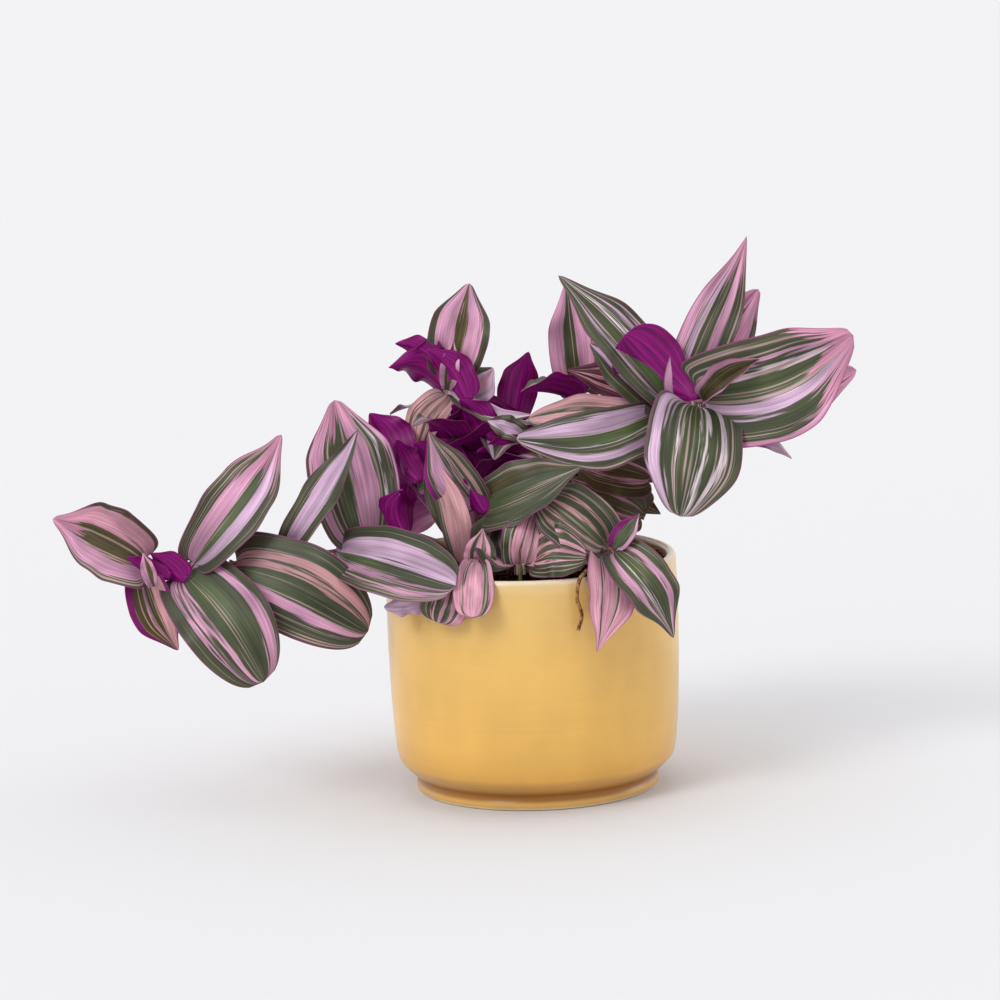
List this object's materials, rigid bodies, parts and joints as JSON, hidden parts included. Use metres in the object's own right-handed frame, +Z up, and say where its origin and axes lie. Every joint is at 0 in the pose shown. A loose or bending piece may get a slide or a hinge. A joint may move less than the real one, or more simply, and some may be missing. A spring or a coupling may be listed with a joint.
{
  "type": "potted tradescantia",
  "caption": "Bushy tradescantia with striped green, pink and purple leaves on creeping and upright stems, growing from soil in a round glazed yellow pot with a recessed foot.",
  "frame": {"origin": "centre of the pot's flat foot, where it stands on a table", "axes": "+Z up the pot's axis, +X towards the plant's right as seen from its front, +Y towards its back"},
  "size_m": [0.4123, 0.2249, 0.2808],
  "materials": {
    "glazed_earthenware": "gloss",
    "potting_soil": "matte",
    "striped_leaf": "satin",
    "pink_leaf": "satin",
    "purple_leaf": "satin",
    "green_stem": "satin",
    "purple_stem": "satin",
    "dry_root": "matte"
  },
  "bodies": {
    "root": {"pot": "glazed_earthenware", "soil": "potting_soil", "left_runner_stem": "green_stem", "left_runner_leaf_1": "striped_leaf", "left_runner_leaf_2": "striped_leaf", "left_runner_leaf_3": "striped_leaf", "left_runner_leaf_4": "striped_leaf", "left_runner_leaf_5": "striped_leaf", "left_runner_leaf_6": "striped_leaf", "left_runner_leaf_7": "striped_leaf", "left_runner_leaf_8": "striped_leaf", "centre_tall_stem": "purple_stem", "centre_tall_leaf_1": "striped_leaf", "centre_tall_leaf_2": "pink_leaf", "centre_tall_leaf_3": "purple_leaf", "centre_left_stem": "purple_stem", "centre_left_leaf_1": "purple_leaf", "centre_stem": "purple_stem", "centre_leaf_1": "purple_leaf", "centre_leaf_2": "purple_leaf", "centre_leaf_3": "purple_leaf", "right_crown_stem": "green_stem", "right_crown_leaf_1": "striped_leaf", "right_crown_leaf_2": "striped_leaf", "right_crown_leaf_3": "striped_leaf", "right_crown_leaf_4": "striped_leaf", "right_crown_leaf_5": "striped_leaf", "right_crown_leaf_6": "striped_leaf", "right_crown_leaf_7": "striped_leaf", "right_crown_leaf_8": "striped_leaf", "right_crown_leaf_9": "striped_leaf", "right_crown_leaf_10": "purple_leaf", "right_crown_leaf_11": "pink_leaf", "centre_right_stem": "green_stem", "centre_right_leaf_1": "striped_leaf", "centre_right_leaf_2": "purple_leaf", "centre_right_leaf_3": "striped_leaf", "front_right_stem": "green_stem", "front_right_leaf_1": "striped_leaf", "front_right_leaf_2": "pink_leaf", "front_right_leaf_3": "striped_leaf", "front_right_leaf_4": "striped_leaf", "front_left_stem": "green_stem", "front_left_leaf_1": "striped_leaf", "front_left_leaf_2": "striped_leaf", "front_left_leaf_3": "striped_leaf", "front_stub_stem": "green_stem", "front_stub_leaf_1": "striped_leaf", "front_trailing_stem": "green_stem", "front_trailing_leaf_1": "pink_leaf", "back_left_stem": "green_stem", "back_left_leaf_1": "striped_leaf", "back_left_leaf_2": "striped_leaf", "back_left_leaf_3": "striped_leaf", "back_left_leaf_4": "striped_leaf", "back_right_stem": "green_stem", "back_right_leaf_1": "striped_leaf", "back_right_leaf_2": "striped_leaf", "back_right_leaf_3": "striped_leaf", "aerial_root": "dry_root"}
  },
  "joints": []
}
